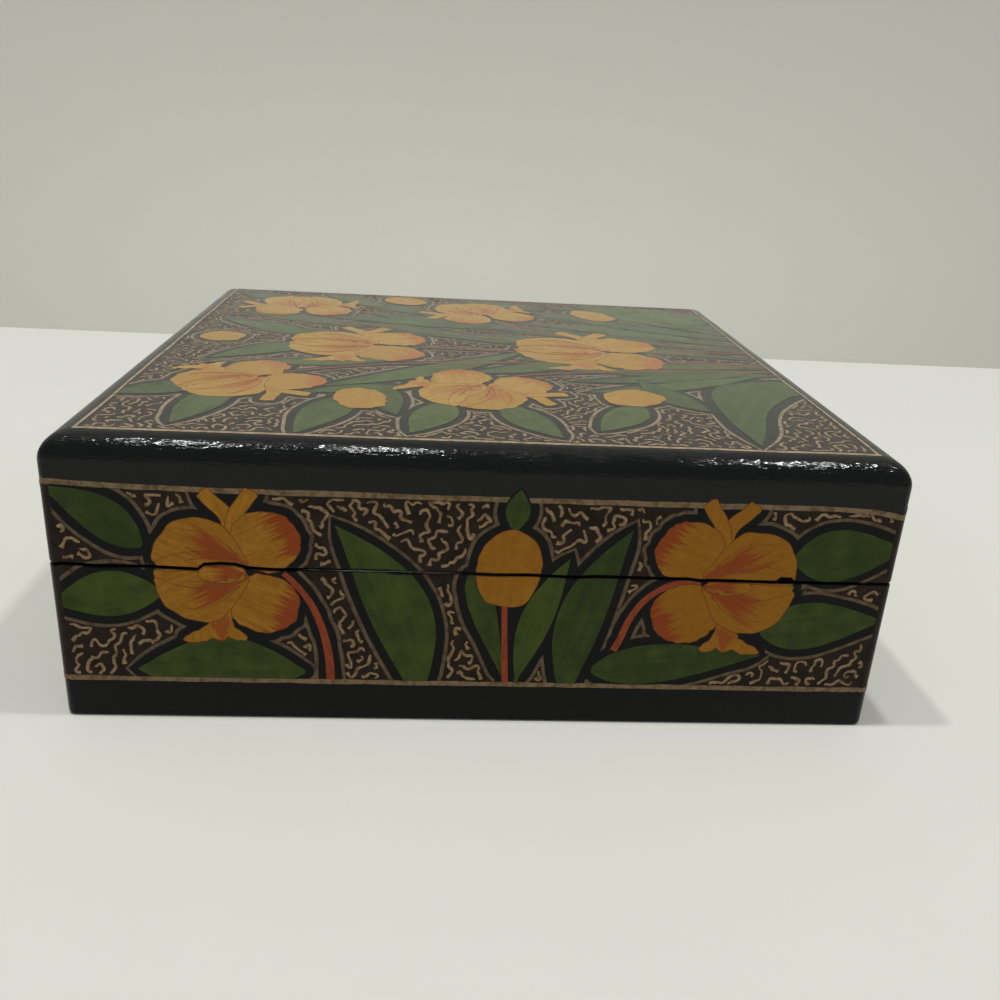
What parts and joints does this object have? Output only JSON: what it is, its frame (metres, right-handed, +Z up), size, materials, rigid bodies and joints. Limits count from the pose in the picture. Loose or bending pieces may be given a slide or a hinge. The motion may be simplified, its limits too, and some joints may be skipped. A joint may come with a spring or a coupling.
{
  "type": "keepsake box",
  "caption": "Square keepsake box of boards under a lacquered, flower-painted papier-mache skin, with a hinged lid on brass butt hinges at the back.",
  "frame": {"origin": "centre of the underside, on the face that the box rests on", "axes": "+X to the right seen from the front, +Y to the back where the hinges are, +Z up"},
  "size_m": [0.14, 0.142, 0.05],
  "materials": {
    "board": "bare sawn board, black lacquer inside the box",
    "lacquered_skin": "black lacquer over papier-mache and gesso, hand painted in colours and gold, glossy varnish",
    "hinge_brass": "plain brass, slightly dulled",
    "brad_steel": "plain wire"
  },
  "bodies": {
    "base": {"base_front_wall": "board", "base_back_wall": "board", "base_left_wall": "board", "base_right_wall": "board", "bottom_panel": "board", "base_corner_brads": "brad_steel", "bottom_panel_brads": "brad_steel", "base_papier_mache_skin": "lacquered_skin", "left_hinge_base_leaf": "hinge_brass", "right_hinge_base_leaf": "hinge_brass", "left_hinge_pin": "hinge_brass", "right_hinge_pin": "hinge_brass", "base_hinge_screws": "hinge_brass"},
    "lid": {"lid_front_wall": "board", "lid_back_wall": "board", "lid_left_wall": "board", "lid_right_wall": "board", "top_board": "board", "lid_corner_brads": "brad_steel", "top_board_brads": "brad_steel", "lid_papier_mache_skin": "lacquered_skin", "left_hinge_lid_leaf": "hinge_brass", "right_hinge_lid_leaf": "hinge_brass", "lid_hinge_screws": "hinge_brass"}
  },
  "joints": [
    {"name": "lid_hinge", "type": "hinge", "parent": "base", "child": "lid", "pos_m": [0, 0.0704, 0.0284], "axis": [-1, 0, 0], "range_deg": [0, 180]}
  ]
}
